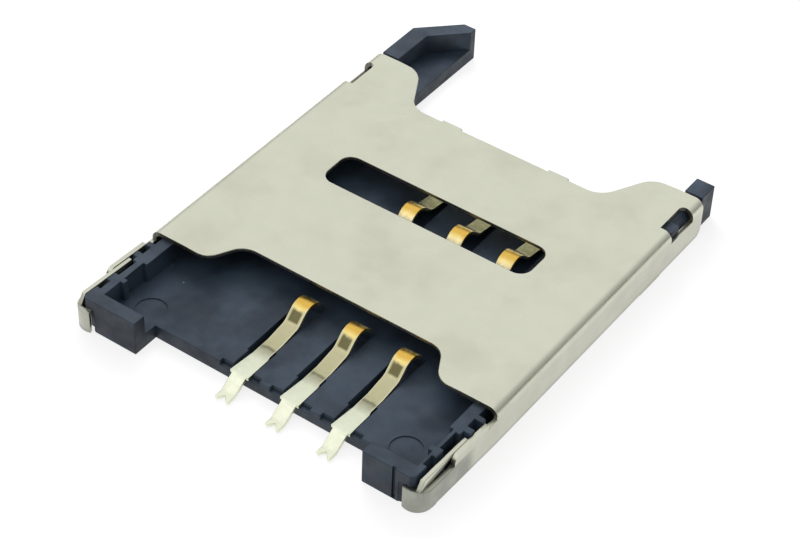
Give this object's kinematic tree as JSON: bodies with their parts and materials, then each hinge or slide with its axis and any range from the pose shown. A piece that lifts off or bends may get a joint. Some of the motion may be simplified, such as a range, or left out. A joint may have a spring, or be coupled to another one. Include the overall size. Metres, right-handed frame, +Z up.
{
  "type": "sim card socket",
  "caption": "Low board socket for a mini SIM card: black moulded base with a guide arm, folded plated shell with a window, and sprung leaf contacts in two rows.",
  "frame": {"origin": "on the board plane, on the card's centre line, under the crests of the front contact row", "axes": "+Y towards the mouth where the card goes in, +Z up from the board, +X to the right when looking along +Y"},
  "size_m": [0.0178, 0.0255, 0.0019],
  "materials": {
    "moulding": "matt moulded, blue-black",
    "plated_sheet": "satin plated",
    "contact_leaf": "tin plated, gold at the crest"
  },
  "bodies": {
    "housing": {"base": "moulding", "shell": "plated_sheet"},
    "supply_leaf": {"supply_contact": "contact_leaf"},
    "reset_leaf": {"reset_contact": "contact_leaf"},
    "clock_leaf": {"clock_contact": "contact_leaf"},
    "ground_leaf": {"ground_contact": "contact_leaf"},
    "spare_leaf": {"spare_contact": "contact_leaf"},
    "data_leaf": {"data_contact": "contact_leaf"}
  },
  "joints": [
    {"name": "supply_flex", "type": "hinge", "parent": "housing", "child": "supply_leaf", "pos_m": [0.00383, -0.003, 0.00059], "axis": [-1, 0, 0], "range_deg": [0, 10.5], "stiffness_Nm_per_rad": 0.01},
    {"name": "reset_flex", "type": "hinge", "parent": "housing", "child": "reset_leaf", "pos_m": [0.00129, -0.003, 0.00059], "axis": [-1, 0, 0], "range_deg": [0, 10.5], "stiffness_Nm_per_rad": 0.01},
    {"name": "clock_flex", "type": "hinge", "parent": "housing", "child": "clock_leaf", "pos_m": [-0.00125, -0.003, 0.00059], "axis": [-1, 0, 0], "range_deg": [0, 10.5], "stiffness_Nm_per_rad": 0.01},
    {"name": "ground_flex", "type": "hinge", "parent": "housing", "child": "ground_leaf", "pos_m": [0.00383, 0.01062, 0.00059], "axis": [1, 0, 0], "range_deg": [0, 10.5], "stiffness_Nm_per_rad": 0.01},
    {"name": "spare_flex", "type": "hinge", "parent": "housing", "child": "spare_leaf", "pos_m": [0.00129, 0.01062, 0.00059], "axis": [1, 0, 0], "range_deg": [0, 10.5], "stiffness_Nm_per_rad": 0.01},
    {"name": "data_flex", "type": "hinge", "parent": "housing", "child": "data_leaf", "pos_m": [-0.00125, 0.01062, 0.00059], "axis": [1, 0, 0], "range_deg": [0, 10.5], "stiffness_Nm_per_rad": 0.01}
  ]
}
